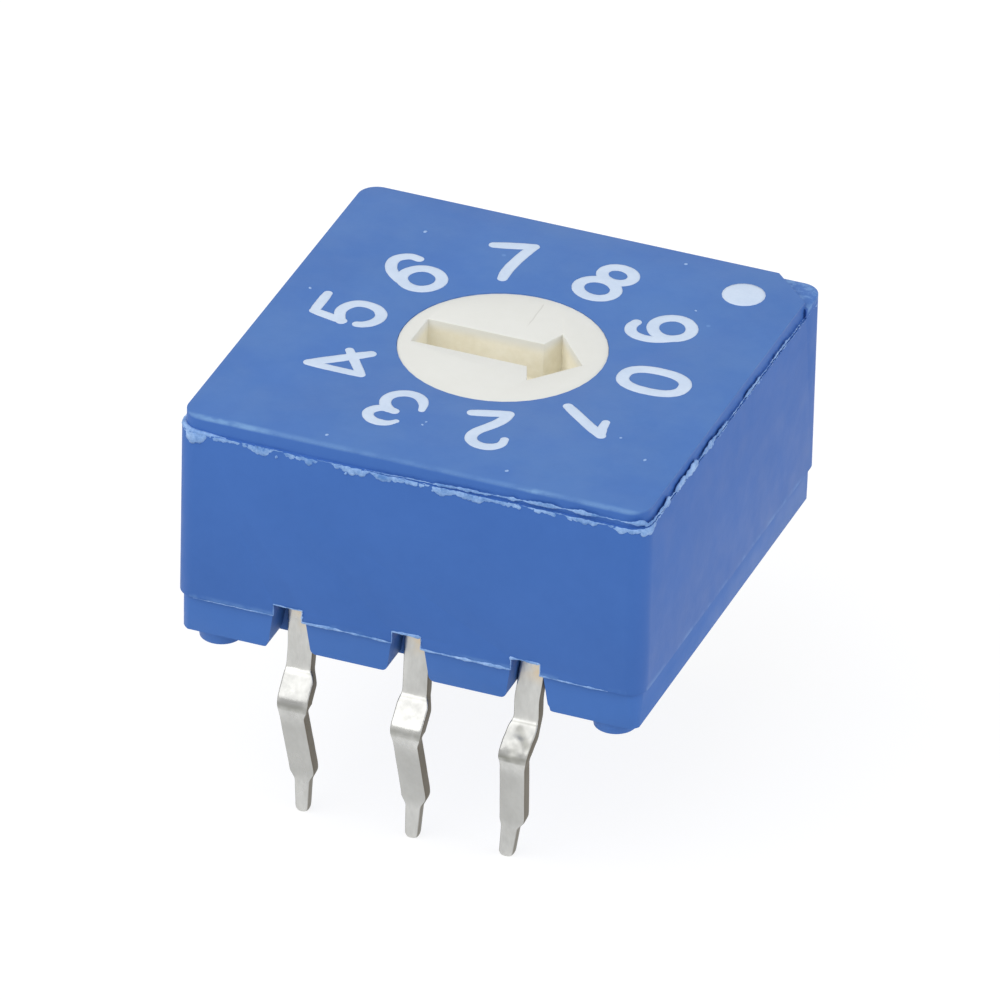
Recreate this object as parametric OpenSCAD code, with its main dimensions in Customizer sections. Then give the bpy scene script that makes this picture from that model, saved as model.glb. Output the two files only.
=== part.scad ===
// Binary coded rotary switch, ten positions, for through-hole mounting.
// A square moulded housing closes over a base that carries six formed terminals.
// The rotor turns in the housing's roof on an O-ring. It carries a windowed code
// disc over five contact springs, and a leaf spring clicks into its rim.
// Frame: the terminals' tips stand on Z = 0, the rotor's axis is the Z axis,
// the driver slot points along +X, and a row of terminals lies along -Y and +Y.
// Heights inside the modules are measured up from the circuit board.

/* [Housing] */
// Side of the square housing
body_w = 10; // [9.6:0.1:12]
// Height of the top face above the circuit board
body_h = 5.3; // [5.1:0.1:6.2]
// Radius of the housing's upright corners
corner_r = 0.42; // [0.2:0.02:0.8]
// Thickness of the housing's side walls
wall_t = 0.55; // [0.4:0.05:0.7]
// Thickness of the housing's roof
roof_t = 0.8; // [0.6:0.05:1]
// Wall of the collar that holds the rotor under the roof
collar_t = 0.7; // [0.4:0.05:1]
// Height of the housing's lower edge above the circuit board
skirt_z = 1.12; // [1.06:0.02:1.3]
// Depth of the step round the top of the housing
lid_step_h = 0.34; // [0.1:0.02:0.5]
// Distance that the step is set in from the sides
lid_step_in = 0.07; // [0.02:0.01:0.2]
// Length of the index corner along each side
index_l = 0.88; // [0.4:0.02:1.1]
// Depth of the index corner below the top face
index_h = 0.15; // [0.05:0.01:0.3]
// Width of the window in the skirt above each terminal
window_w = 0.62; // [0.56:0.02:0.8]
// Height of the window in the skirt above each terminal
window_h = 0.27; // [0.1:0.01:0.4]

/* [Base] */
// Distance that the base is set in from the housing's sides
base_in = 0.07; // [0.03:0.01:0.2]
// Distance that the base's sides draw in towards their lower edges
base_draft = 0.05; // [0.01:0.01:0.1]
// Height of the feet under the base
foot_h = 0.35; // [0.2:0.05:0.45]
// Diameter of the feet
foot_d = 0.94; // [0.5:0.02:1]
// Distance from the housing's left and right sides to the feet's centres
foot_side = 0.77; // [0.7:0.01:1]
// Distance from the housing's front and back to the feet's centres
foot_front = 0.66; // [0.62:0.01:1]
// Height of the base's inner floor above the skirt
plug_h = 0.18; // [0.14:0.01:0.3]
// Width of the notch round each terminal at its upper end
notch_top_w = 0.7; // [0.6:0.02:0.9]
// Width of the notch round each terminal at its lower end
notch_low_w = 0.88; // [0.8:0.02:1.1]
// Radius of the notch's lower edges
notch_r = 0.13; // [0.05:0.01:0.2]
// Side of the square posts in the corners
post_w = 1; // [0.7:0.05:1.05]

/* [Terminals] */
// Distance between neighbouring terminals in a row
pitch = 2.54; // [2.4:0.02:2.6]
// Distance between the two rows at the tips
row_w = 7.62; // [7.2:0.02:8]
// Width of the terminal strip
strip_w = 0.54; // [0.4:0.02:0.54]
// Thickness of the terminal strip
strip_t = 0.28; // [0.15:0.01:0.3]
// Length of the terminals below the circuit board's top
leg_l = 4; // [3.4:0.1:5]
// Distance that the kink stands out from the terminal's upper part
kink_out = 0.47; // [0.2:0.01:0.6]
// Start of the kink below the circuit board's top
kink_top = 0.4; // [0.3:0.05:0.6]
// Crest of the kink below the circuit board's top
kink_crest = 1; // [0.9:0.05:1.4]
// Width of the terminal where the kink is pressed
kink_w = 0.66; // [0.56:0.02:0.74]
// End of the kink below the circuit board's top
kink_end = 2.9; // [2.4:0.05:3.1]
// Inward set of the terminal at the end of the kink
kink_in = 0.22; // [0.1:0.01:0.4]
// Width of the narrowed tip at its shoulder
tip_w = 0.34; // [0.26:0.02:0.38]
// Width of the narrowed tip at its end
tip_end_w = 0.28; // [0.2:0.02:0.34]
// Height of the shoulder where the strip narrows
shoulder_h = 0.33; // [0.2:0.01:0.5]
// Sideways lean of the front left terminal in degrees
lean_left = 0; // [0:0.5:6]
// Sideways lean of the front middle terminal in degrees
lean_middle = 2; // [0:0.5:6]
// Sideways lean of the front right terminal in degrees
lean_right = 7.5; // [0:0.5:8]
// Sideways lean of the back right terminal in degrees
lean_back = 4; // [0:0.5:8]
// Distance from each corner of the kink at which its bend starts
bend_l = 0.22; // [0.1:0.02:0.3]
// Distance that the strips in the base stand out round what they carry
pad_edge = 0.05; // [0.02:0.01:0.1]
// Gap between the common strip's arm and its neighbour
strip_gap = 0.3; // [0.2:0.02:0.4]

/* [Rotor] */
// Diameter of the rotor's head
head_d = 4.24; // [4.1:0.02:4.6]
// Depth of the head below the housing's top face
head_in = 0.02; // [0:0.01:0.1]
// Thickness of the rotor's flange
flange_t = 1.15; // [1:0.05:1.25]
// Diameter of the rotor's centre pin
pin_d = 1; // [0.8:0.05:1.2]
// Length of the centre pin
pin_l = 1.35; // [1.1:0.05:1.5]
// Wall of the base's boss round the centre pin
boss_t = 0.5; // [0.4:0.05:0.6]
// Distance from the code disc's edge to the rotor's rim
rim_edge = 0.18; // [0.14:0.01:0.3]
// Depth of the driver slot
slot_h = 0.85; // [0.5:0.05:0.9]
// Width of the driver slot's tail
tail_w = 0.93; // [0.6:0.01:1.2]
// Length of the slot's tail from the axis
tail_l = 1.79; // [1.4:0.01:1.85]
// Distance of the arrow head's barbs from the axis
barb_x = 0.9; // [0.6:0.02:1]
// Width of the arrow head over its barbs
barb_w = 1.94; // [1.6:0.02:2.2]
// Distance of the arrow head's point from the axis
point_x = 1.7; // [1.5:0.02:1.8]
// Depth of each detent scallop in the rim
detent_h = 0.1; // [0.06:0.01:0.14]
// Radius of each detent scallop
detent_r = 0.4; // [0.3:0.02:0.7]

/* [O-ring] */
// Diameter of the O-ring's section
oring_d = 0.46; // [0.36:0.01:0.5]

/* [Code disc and contact springs] */
// Thickness of the code disc
disc_t = 0.12; // [0.08:0.01:0.2]
// Radius of the innermost track
track_r = 1.4; // [1.35:0.01:1.45]
// Distance between neighbouring tracks
track_pitch = 0.48; // [0.44:0.01:0.5]
// Edge of the disc outside the outermost contact spring
disc_edge = 0.05; // [0.03:0.01:0.1]
// Edge of each window beside its contact spring
window_edge = 0.02; // [0.01:0.01:0.04]
// Width of each contact spring
finger_w = 0.3; // [0.2:0.01:0.34]
// Thickness of each contact spring
finger_t = 0.08; // [0.05:0.01:0.1]
// Height of the space between the base and the code disc
contact_h = 0.95; // [0.85:0.05:1]
// Radius of a contact spring's rounded tip
finger_r = 0.2; // [0.15:0.01:0.3]
// Length of a contact spring's nose past the axis
nose_l = 0.32; // [0.25:0.01:0.4]
// Length of a contact spring's flat root
root_l = 0.8; // [0.6:0.05:1]
// Length of the common contact spring's flat root
common_root_l = 0.6; // [0.4:0.05:0.7]

/* [Detent spring] */
// Thickness of the detent spring
leaf_t = 0.1; // [0.06:0.01:0.14]
// Height of the detent spring
leaf_h = 0.6; // [0.4:0.02:0.7]
// Radius of the bump that enters the scallops
bump_r = 0.13; // [0.12:0.01:0.2]
// Half the length of the steep part of the bump
ramp_l = 0.5; // [0.4:0.05:0.7]

/* [Clearances] */
// Radial clearance of turning parts
turn_gap = 0.04; // [0.02:0.01:0.06]
// End play of the rotor
end_gap = 0.05; // [0.03:0.01:0.08]
// Clearance between the housing and what sits in it
seat_gap = 0.03; // [0.02:0.01:0.05]
// Clearance of the spring contacts to what they touch
touch_gap = 0.03; // [0.02:0.01:0.05]

/* [Hidden] */
$fn = 48;
eps = 0.01;
positions = 10;
step_a = 360 / positions;
// Binary weights, from the outermost track inwards.
bits = [1, 2, 4, 8];
// The contact springs stand on this side of the axis.
finger_a = -90;
// Half the included angle of the detent spring's bump.
bump_a = 50;
// Half the arc of a contact spring's rounded tip.
tip_a = 40;

half_w = body_w / 2;
cavity = half_w - wall_t;
plug = cavity - seat_gap;
floor_z = skirt_z + plug_h;
disc_z = floor_z + contact_h;
flange_z = disc_z + flange_t;
collar_z = flange_z + end_gap;
roof_z = body_h - roof_t;
head_z = body_h - head_in;

head_r = head_d / 2;
bore_r = head_r + turn_gap;
pin_r = pin_d / 2;
pivot_r = pin_r + turn_gap;
pivot_boss_r = pivot_r + boss_t;

// The O-ring's groove lies midway between the slot's floor and the collar's mouth.
oring_mid_r = bore_r - turn_gap / 2 - oring_d / 2;
groove_r = oring_mid_r - oring_d / 2 - eps;
groove_h = oring_d + 2 * eps;
groove_z = (collar_z + head_z - slot_h) / 2 - groove_h / 2;

// The tracks run from the common one outwards through 8, 4, 2 and 1.
disc_out_r = track(0) + finger_w / 2 + disc_edge;
disc_in_r = pivot_r + 0.8 * boss_t;
rim_r = disc_out_r + rim_edge;

leg_y = plug - strip_t / 2;
leaf_low = disc_z + flange_t / 2 - leaf_h / 2;
leaf_top = leaf_low + leaf_h;
pad_w = strip_w + 2 * pad_edge;
pad_end = finger_w / 2 + pad_edge;
// The bend of a terminal starts under its flat strip, and its ends lap the strip.
bend_z = floor_z - strip_t;
lap = strip_t / 4;
// The innermost contact spring is shorter, with its root beside the pivot.
common_root = pitch - pad_w / 2 - strip_gap;

BLUE = [0.30, 0.45, 0.72];
IVORY = [0.91, 0.91, 0.88];
TIN = [0.75, 0.75, 0.73];
GOLD = [0.85, 0.68, 0.32];
STEEL = [0.62, 0.63, 0.65];
BLACK = [0.08, 0.08, 0.08];

// Radius of the track of one contact: 0 to 3 for the bits 1 to 8, and 4 for the common.
function track(i) = track_r + track_pitch * (len(bits) - i);

// True if the switch closes this bit at this position.
function is_closed(bit, p) = floor(p / bit) % 2 == 1;

// Number of positions in a row, from p on, that leave this bit open.
function open_run(bit, p) =
    is_closed(bit, p % positions) ? 0 : 1 + open_run(bit, p + 1);

function unit(v) = v / norm(v);
function left_of(v) = [-v[1], v[0]];

// Direction of a path at its point i, times the stretch that keeps its thickness.
function mitre(path, i) =
    let (last = len(path) - 1)
    let (a = unit(path[max(i, 1)] - path[max(i, 1) - 1]))
    let (b = unit(path[min(i, last - 1) + 1] - path[min(i, last - 1)]))
    let (m = unit(left_of(a) + left_of(b)))
    m / (m * left_of(a));

// Outline of a sheet of thickness t that follows a path along its middle.
function sheet(path, t) = concat(
    [for (i = [0:len(path) - 1]) path[i] + mitre(path, i) * t / 2],
    [for (i = [len(path) - 1:-1:0]) path[i] - mitre(path, i) * t / 2]
);

// A path whose inner corners are eased: each bend starts a distance d before its corner.
function bent(path, d, n = 4) = concat(
    [path[0]],
    [for (i = [1:len(path) - 2], k = [0:n])
        let (from = path[i] + d * unit(path[i - 1] - path[i]))
        let (to = path[i] + d * unit(path[i + 1] - path[i]))
        let (t = k / n)
        (1 - t) * (1 - t) * from + 2 * t * (1 - t) * path[i] + t * t * to],
    [path[len(path) - 1]]
);

// Points of an arc about a centre, from one angle to another.
function arc(centre, r, from, to, n) =
    [for (i = [0:n]) centre + r * [cos(from + (to - from) * i / n), sin(from + (to - from) * i / n)]];

module square_with_corners(w, r) {
    square([w, w - 2 * r], center = true);
    square([w - 2 * r, w], center = true);
    for (x = [-1, 1], y = [-1, 1])
        translate([x * (w / 2 - r), y * (w / 2 - r)]) circle(r);
}

module block(w, r, from, to) {
    translate([0, 0, from]) linear_extrude(to - from) square_with_corners(w, r);
}

// Repeats its children at the place of each of the six terminals, with -Y outwards.
module at_terminals() {
    for (turn = [0, 180], x = [-1, 0, 1])
        rotate([0, 0, turn]) translate([x * pitch, 0, 0]) children();
}

module at_corners(x, y) {
    for (i = [-1, 1], j = [-1, 1]) translate([i * x, j * y, 0]) children();
}

// Four posts in the corners of a square of side w, rounded as the cavity is.
module corner_posts(w, from, to) {
    mid = (w - post_w) / 2;
    intersection() {
        block(w, corner_r / 2, from, to);
        at_corners(mid, mid) translate([0, 0, from - eps])
            linear_extrude(to - from + 2 * eps) square(post_w, center = true);
    }
}

// ---- Housing ----

// Everything beyond the diagonal across one corner, between two heights.
module beyond_diagonal(from, to) {
    corner = half_w - lid_step_in;
    out = half_w + eps;
    start = 2 * corner - index_l - out;
    translate([0, 0, from]) linear_extrude(to - from)
        polygon([[start, out], [out, start], [out, out]]);
}

// In the index corner the side walls rise past the step, up to its lowered floor.
module index_pad() {
    step_z = body_h - lid_step_h;
    pad_z = max(step_z, body_h - index_h);
    intersection() {
        block(body_w, corner_r, step_z - eps, pad_z);
        beyond_diagonal(step_z - 2 * eps, pad_z + eps);
    }
}

module housing() {
    color(BLUE) difference() {
        union() {
            difference() {
                union() {
                    block(body_w, corner_r, skirt_z, body_h - lid_step_h);
                    block(body_w - 2 * lid_step_in, corner_r, body_h - lid_step_h - eps, body_h);
                    index_pad();
                }
                block(2 * cavity, corner_r / 2, skirt_z - eps, roof_z);
                beyond_diagonal(body_h - index_h, body_h + eps);
            }
            translate([0, 0, collar_z])
                cylinder(h = roof_z - collar_z + eps, r = bore_r + collar_t);
            // Pillars that hold the detent spring down from above.
            corner_posts(2 * cavity + 2 * eps, leaf_top + seat_gap, roof_z + eps);
        }
        translate([0, 0, collar_z - eps])
            cylinder(h = body_h - collar_z + 2 * eps, r = bore_r);
        at_terminals()
            translate([-window_w / 2, -half_w - eps, skirt_z - eps])
                cube([window_w, wall_t + 2 * eps, window_h + eps]);
    }
}

// ---- Base ----

// Front view of the notch round one terminal, open downwards.
module notch_profile() {
    top = skirt_z;
    low = foot_h;
    up = notch_top_w / 2;
    down = notch_low_w / 2;
    flare = arc([down + notch_r, low + notch_r], notch_r, 180, 270, 6);
    right = concat([[up, top]], flare, [[down + notch_r, low - eps]]);
    polygon(concat(right, [for (i = [len(right) - 1:-1:0]) [-right[i][0], right[i][1]]]));
}

// The base below the housing, its four sides drawn in evenly towards their lower edges.
module drafted_block() {
    top = half_w - base_in;
    low = top - base_draft;
    outline = [[-low, foot_h], [low, foot_h], [top, skirt_z], [-top, skirt_z]];
    intersection() {
        block(2 * top + 2 * eps, corner_r, foot_h, skirt_z);
        rotate([90, 0, 0]) linear_extrude(body_w, center = true) polygon(outline);
        rotate([90, 0, 90]) linear_extrude(body_w, center = true) polygon(outline);
    }
}

module base() {
    notch_back = leg_y - strip_t / 2;
    color(BLUE) difference() {
        union() {
            drafted_block();
            block(2 * plug, corner_r / 2, skirt_z - eps, floor_z);
            at_corners(half_w - foot_side, half_w - foot_front)
                cylinder(h = foot_h + eps, d = foot_d);
            // Posts that carry the detent spring from below.
            corner_posts(2 * plug, floor_z - eps, leaf_low);
            translate([0, 0, floor_z - eps])
                cylinder(h = contact_h - end_gap + eps, r = pivot_boss_r);
        }
        translate([0, 0, disc_z - pin_l - end_gap])
            cylinder(h = pin_l + end_gap, r = pivot_r);
        at_terminals() {
            translate([0, -notch_back, 0]) rotate([90, 0, 0])
                linear_extrude(half_w) notch_profile();
            translate([-strip_w / 2, -half_w, skirt_z - eps])
                cube([strip_w, half_w - notch_back, plug_h + 2 * eps]);
        }
        lead_frame();
    }
}

// ---- Terminals ----

// Side view of a terminal below its bend: y outwards is negative, z from the board.
function leg_path() = [
    [-leg_y, bend_z],
    [-leg_y, -kink_top],
    [-leg_y - kink_out, -kink_crest],
    [-leg_y + kink_in, -kink_end],
    [-row_w / 2, -leg_l - eps]
];

// Front view of a terminal: full width but for the kink, which is wider where it is
// pressed, then a shoulder, and a tapered tip with a round end.
// Everything below the bend leans sideways, towards -X for a positive angle.
module leg_front(lean) {
    shoulder = -kink_end;
    tip_r = tip_end_w / 2;
    lean_z = bend_z - lap;
    press_l = (kink_crest - kink_top) / 2;
    side = concat(
        [[strip_w / 2, floor_z + eps], [strip_w / 2, lean_z],
         [strip_w / 2, -kink_top], [kink_w / 2, -kink_top - press_l],
         [kink_w / 2, -kink_crest], [strip_w / 2, -kink_crest - press_l],
         [strip_w / 2, shoulder], [tip_w / 2, shoulder - shoulder_h]],
        arc([0, tip_r - leg_l], tip_r, 0, -90, 6)
    );
    outline = concat(side, [for (i = [len(side) - 2:-1:0]) [-side[i][0], side[i][1]]]);
    polygon([for (p = outline) [p[0] + min(0, p[1] - lean_z) * tan(lean), p[1]]]);
}

// One formed leg in its own frame, with -Y outwards.
module leg(lean = 0) {
    intersection() {
        rotate([90, 0, 90])
            linear_extrude(body_w, center = true)
                polygon(sheet(bent(leg_path(), bend_l), strip_t));
        rotate([90, 0, 0]) linear_extrude(2 * half_w, center = true) leg_front(lean);
    }
    // The quarter bend from the upright leg into the flat strip.
    translate([0, -leg_y + strip_t / 2, bend_z]) rotate([90, 0, 90])
        linear_extrude(strip_w, center = true) {
            intersection() {
                circle(strip_t);
                translate([-strip_t, 0]) square(strip_t);
            }
            translate([-strip_t, -lap]) square([strip_t, lap]);
            square([lap, strip_t]);
        }
}

// Flat strip in the base's floor, from a row's bend to a distance from the axis.
module strip_in(y_end) {
    y_bend = leg_y - strip_t / 2;
    neck = strip_w / 2;
    translate([-strip_w / 2, -y_bend, bend_z])
        cube([strip_w, y_bend + y_end, strip_t]);
    translate([-pad_w / 2, -y_bend + neck, bend_z])
        cube([pad_w, y_bend - neck + y_end, strip_t]);
}

module terminal_1(legs = true) {
    color(TIN) translate([-pitch, 0, 0]) {
        if (legs) leg(lean_left);
        strip_in(-track(0) + pad_end);
    }
}

module terminal_2(legs = true) {
    color(TIN) translate([pitch, 0, 0]) {
        if (legs) leg(lean_right);
        strip_in(-track(1) + pad_end);
    }
}

module terminal_4(legs = true) {
    color(TIN) rotate([0, 0, 180]) translate([pitch, 0, 0]) {
        if (legs) leg();
        strip_in(track(2) + pad_end);
    }
}

module terminal_8(legs = true) {
    color(TIN) rotate([0, 0, 180]) translate([-pitch, 0, 0]) {
        if (legs) leg(-lean_back);
        strip_in(track(3) + pad_end);
    }
}

// One strip joins the middle legs of both rows round the pivot, with an arm for its spring.
module terminal_common(legs = true) {
    hole_r = pivot_r + boss_t / 4;
    eye_r = pivot_r + 0.8 * boss_t;
    color(TIN) {
        if (legs) leg(lean_middle);
        if (legs) rotate([0, 0, 180]) leg();
        translate([0, 0, bend_z]) difference() {
            union() {
                cylinder(h = strip_t, r = eye_r);
                translate([-strip_w / 2, -leg_y + strip_t / 2, 0])
                    cube([strip_w, 2 * leg_y - strip_t, strip_t]);
                translate([-common_root, -track(4) - pad_end, 0])
                    cube([common_root + strip_w / 2, 2 * pad_end, strip_t]);
            }
            translate([0, 0, -eps]) cylinder(h = strip_t + 2 * eps, r = hole_r);
        }
    }
}

// What the base is moulded round.
module lead_frame() {
    terminal_1(false);
    terminal_2(false);
    terminal_4(false);
    terminal_8(false);
    terminal_common(false);
}

// ---- Rotor ----

module arrow_slot() {
    tail = tail_w / 2;
    barb = barb_w / 2;
    linear_extrude(slot_h + eps) polygon([
        [-tail_l, -tail], [barb_x, -tail], [barb_x, -barb], [point_x, 0],
        [barb_x, barb], [barb_x, tail], [-tail_l, tail]
    ]);
}

module rotor() {
    color(IVORY) difference() {
        union() {
            translate([0, 0, disc_z]) cylinder(h = flange_t, r = rim_r, $fn = 96);
            translate([0, 0, flange_z - eps]) cylinder(h = head_z - flange_z + eps, r = head_r);
            translate([0, 0, disc_z - pin_l]) cylinder(h = pin_l + eps, r = pin_r);
        }
        // Ten scallops, one of them on each side of the rotor that faces a row of terminals.
        for (i = [0:positions - 1])
            rotate([0, 0, step_a * (i + 0.5)])
                translate([rim_r - detent_h + detent_r, 0, disc_z - eps])
                    cylinder(h = flange_t + 2 * eps, r = detent_r);
        translate([0, 0, groove_z]) difference() {
            cylinder(h = groove_h, r = bore_r);
            translate([0, 0, -eps]) cylinder(h = groove_h + 2 * eps, r = groove_r);
        }
        translate([0, 0, head_z - slot_h]) arrow_slot();
        code_disc();
    }
}

module o_ring() {
    color(BLACK) translate([0, 0, groove_z + groove_h / 2]) rotate_extrude()
        translate([oring_mid_r, 0]) circle(d = oring_d);
}

// A ring with a window wherever a contact spring is to stay open. The windows
// turn the opposite way to the positions, because the disc turns and the springs stay.
module code_disc() {
    window = finger_w + 2 * window_edge;
    color(GOLD) translate([0, 0, disc_z]) difference() {
        cylinder(h = disc_t, r = disc_out_r, $fn = 96);
        translate([0, 0, -eps]) cylinder(h = disc_t + 2 * eps, r = disc_in_r);
        for (i = [0:len(bits) - 1], p = [0:positions - 1])
            if (!is_closed(bits[i], p) && is_closed(bits[i], (p + positions - 1) % positions))
                rotate([0, 0, finger_a + step_a * (p - 0.5)])
                    translate([0, 0, -eps])
                        rotate_extrude(angle = step_a * open_run(bits[i], p), $fn = 96)
                            translate([track(i) - window / 2, 0])
                                square([window, disc_t + 2 * eps]);
    }
}

// ---- Contact springs ----

// Side view of a spring that rises from its root on the left to the disc at x = 0.
function finger_path(root_x, root_len) =
    let (root_z = floor_z + finger_t / 2)
    let (tip_z = disc_z - touch_gap - finger_t / 2 - finger_r)
    concat(
        [[-root_x, root_z], [-root_x + root_len, root_z]],
        arc([0, tip_z], finger_r, 90 + tip_a, 90 - tip_a, 6),
        [[nose_l, tip_z]]
    );

// side is -1 for a root on the left and 1 for a root on the right.
module contact_spring(i, side, root_x, root_len) {
    color(GOLD) translate([0, -track(i), 0]) scale([-side, 1, 1]) rotate([90, 0, 0])
        linear_extrude(finger_w, center = true)
            polygon(sheet(finger_path(root_x, root_len), finger_t));
}

module contact_spring_1() { contact_spring(0, -1, pitch + pad_w / 2, root_l); }
module contact_spring_2() { contact_spring(1, 1, pitch + pad_w / 2, root_l); }
module contact_spring_4() { contact_spring(2, -1, pitch + pad_w / 2, root_l); }
module contact_spring_8() { contact_spring(3, 1, pitch + pad_w / 2, root_l); }
module contact_spring_common() { contact_spring(4, -1, common_root, common_root_l); }

// ---- Detent spring ----

// Half of the leaf's plan, from the middle of its bump to its end at the back wall.
function leaf_half() =
    let (mid_r = bump_r - leaf_t / 2)
    let (centre_y = rim_r - detent_h + touch_gap + bump_r)
    let (wall_y = plug - leaf_t / 2)
    concat(
        arc([0, centre_y], mid_r, -90, -90 + bump_a, 4),
        [
            [ramp_l, (centre_y + wall_y) / 2],
            [plug - 1.2 * post_w, wall_y],
            [plug - 0.3 * post_w, wall_y]
        ]
    );

module detent_spring() {
    half = leaf_half();
    path = concat(
        [for (i = [len(half) - 1:-1:1]) [-half[i][0], half[i][1]]],
        half
    );
    color(STEEL) translate([0, 0, leaf_low])
        linear_extrude(leaf_h) polygon(sheet(path, leaf_t));
}

// Everything stands on the terminals' tips.
module on_tips() { translate([0, 0, leg_l]) children(); }

on_tips() housing();
on_tips() base();
on_tips() rotor();
on_tips() o_ring();
on_tips() code_disc();
on_tips() detent_spring();
on_tips() terminal_1();
on_tips() terminal_2();
on_tips() terminal_4();
on_tips() terminal_8();
on_tips() terminal_common();
on_tips() contact_spring_1();
on_tips() contact_spring_2();
on_tips() contact_spring_4();
on_tips() contact_spring_8();
on_tips() contact_spring_common();
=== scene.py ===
import math
import random

import bmesh
import bpy
from mathutils import Matrix, Vector, noise


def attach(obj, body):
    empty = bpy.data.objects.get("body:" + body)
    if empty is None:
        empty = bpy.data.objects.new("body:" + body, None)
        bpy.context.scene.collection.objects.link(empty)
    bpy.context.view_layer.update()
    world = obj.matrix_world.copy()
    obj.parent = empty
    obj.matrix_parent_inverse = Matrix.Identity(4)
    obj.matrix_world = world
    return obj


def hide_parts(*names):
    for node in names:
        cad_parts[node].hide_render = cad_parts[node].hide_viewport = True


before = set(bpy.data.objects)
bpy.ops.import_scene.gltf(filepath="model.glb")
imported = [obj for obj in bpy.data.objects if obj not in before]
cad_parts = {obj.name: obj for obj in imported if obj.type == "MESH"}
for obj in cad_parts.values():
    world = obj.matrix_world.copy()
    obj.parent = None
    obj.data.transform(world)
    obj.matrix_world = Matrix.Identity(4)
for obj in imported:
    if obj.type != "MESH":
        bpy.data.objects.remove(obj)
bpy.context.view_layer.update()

MM = 0.001
# Heights are in mm above the terminals' tips, other places in mm from the rotor's axis.
TOP = 9.3
HEAD_Z = 9.28  # the rotor's top face
STEP_Z = TOP - 0.34
SKIRT_Z = 5.12  # the cover's lower edge
BOARD = 4.0  # under the feet
BLOCK_Z = BOARD + 0.35  # under the base's blocks
HALF = 5.0
PITCH = 2.54
EDGE_R = 0.42  # the cover's round corners, seen from above


def add_object(name, data):
    thing = bpy.data.objects.new(name, data)
    bpy.context.scene.collection.objects.link(thing)
    return thing


# ---------------------------- node trees


class Graph:
    """A node tree with short calls for its nodes. A value is a number, a tuple or a socket to link."""

    def __init__(self, tree):
        self.tree = tree

    def node(self, kind, inputs=None, **settings):
        """A node by its kind. inputs maps the names or numbers of its sockets to values."""
        n = self.tree.nodes.new(kind)
        for label, value in settings.items():
            setattr(n, label, value)
        for label, value in (inputs or {}).items():
            socket = n.inputs[label]
            if isinstance(value, bpy.types.NodeSocket):
                self.tree.links.new(value, socket)
            else:
                socket.default_value = (*value, 1) if socket.type == "RGBA" else value
        return n

    def math(self, operation, *values):
        return self.node("ShaderNodeMath", dict(enumerate(values)), operation=operation).outputs[0]

    def add(self, a, b):
        return self.math("ADD", a, b)

    def less(self, a, b):
        return self.math("SUBTRACT", a, b)

    def times(self, first, *others):
        for other in others:
            first = self.math("MULTIPLY", first, other)
        return first

    def vector(self, operation, a, b):
        return self.node("ShaderNodeVectorMath", {0: a, 1: b}, operation=operation).outputs[0]

    def ramp(self, value, low, high, to_low=0.0, to_high=1.0):
        """A smooth step from one number to another."""
        return self.node("ShaderNodeMapRange", {
            "Value": value, "From Min": low, "From Max": high, "To Min": to_low, "To Max": to_high,
        }, interpolation_type="SMOOTHSTEP").outputs[0]

    def rise(self, value, low, high):
        """From 0 to 1 over a stretch in mm."""
        return self.ramp(value, low * MM, high * MM)

    def fall(self, value, low, high):
        """From 1 to 0 over a stretch in mm."""
        return self.ramp(value, low * MM, high * MM, 1.0, 0.0)

    def mix(self, mask, a, b):
        return self.node("ShaderNodeMix", {0: mask, 6: a, 7: b}, data_type="RGBA").outputs[2]

    def noise(self, place, scale, detail, roughness=0.5):
        return self.node("ShaderNodeTexNoise", {
            "Vector": place, "Scale": scale, "Detail": detail, "Roughness": roughness}).outputs[0]


class Group(Graph):
    """A node group. Its inputs are read as group["Name"], and each kind ends a NodeSocket type."""

    def __init__(self, name, kind, inputs, outputs):
        super().__init__(bpy.data.node_groups.new(name, kind))
        for way, sockets in (("INPUT", inputs), ("OUTPUT", outputs)):
            for label, sort in sockets.items():
                self.tree.interface.new_socket(label, in_out=way, socket_type="NodeSocket" + sort)
        self.given = self.node("NodeGroupInput").outputs
        self.out = self.node("NodeGroupOutput").inputs

    def __getitem__(self, label):
        return self.given[label]

    def send(self, **results):
        for label, socket in results.items():
            self.tree.links.new(socket, self.out[label])
        return self.tree


# ---------------------------- camera, light and floor


def make_camera():
    data = bpy.data.cameras.new("camera")
    data.sensor_width = 36
    data.lens = 547.52
    data.clip_start, data.clip_end = 0.01, 10
    cam = add_object("camera", data)
    cam.matrix_world = Matrix((
        (0.9304095, -0.2076845, 0.3020021, 0.0923483),
        (0.3659017, 0.4784075, -0.7982746, -0.2440450),
        (0.0213093, 0.8532253, 0.5211070, 0.1650293),
        (0, 0, 0, 1),
    ))
    bpy.context.scene.camera = cam


def soft_lamp(name, place, size, watts, colour=(1, 1, 1)):
    """A square lamp that points at the part."""
    data = bpy.data.lights.new(name, "AREA")
    data.shape = "SQUARE"
    data.size = size
    data.energy = watts
    data.color = colour
    lamp = add_object(name, data)
    lamp.location = place
    lamp.rotation_euler = (Vector((0, 0, 0.006)) - Vector(place)).to_track_quat("-Z", "Y").to_euler()


def shown_and_lit(graph, output, lit, shown):
    """Rays that show the surroundings (camera, glossy and transmission) see one shader, and the rest another."""
    path = graph.node("ShaderNodeLightPath").outputs
    mask = graph.math("MAXIMUM", graph.math("MAXIMUM", path["Is Camera Ray"], path["Is Glossy Ray"]),
                      path["Is Transmission Ray"])
    mix = graph.node("ShaderNodeMixShader", {0: mask, 1: lit, 2: shown})
    graph.node(output, {0: mix.outputs[0]})


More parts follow.
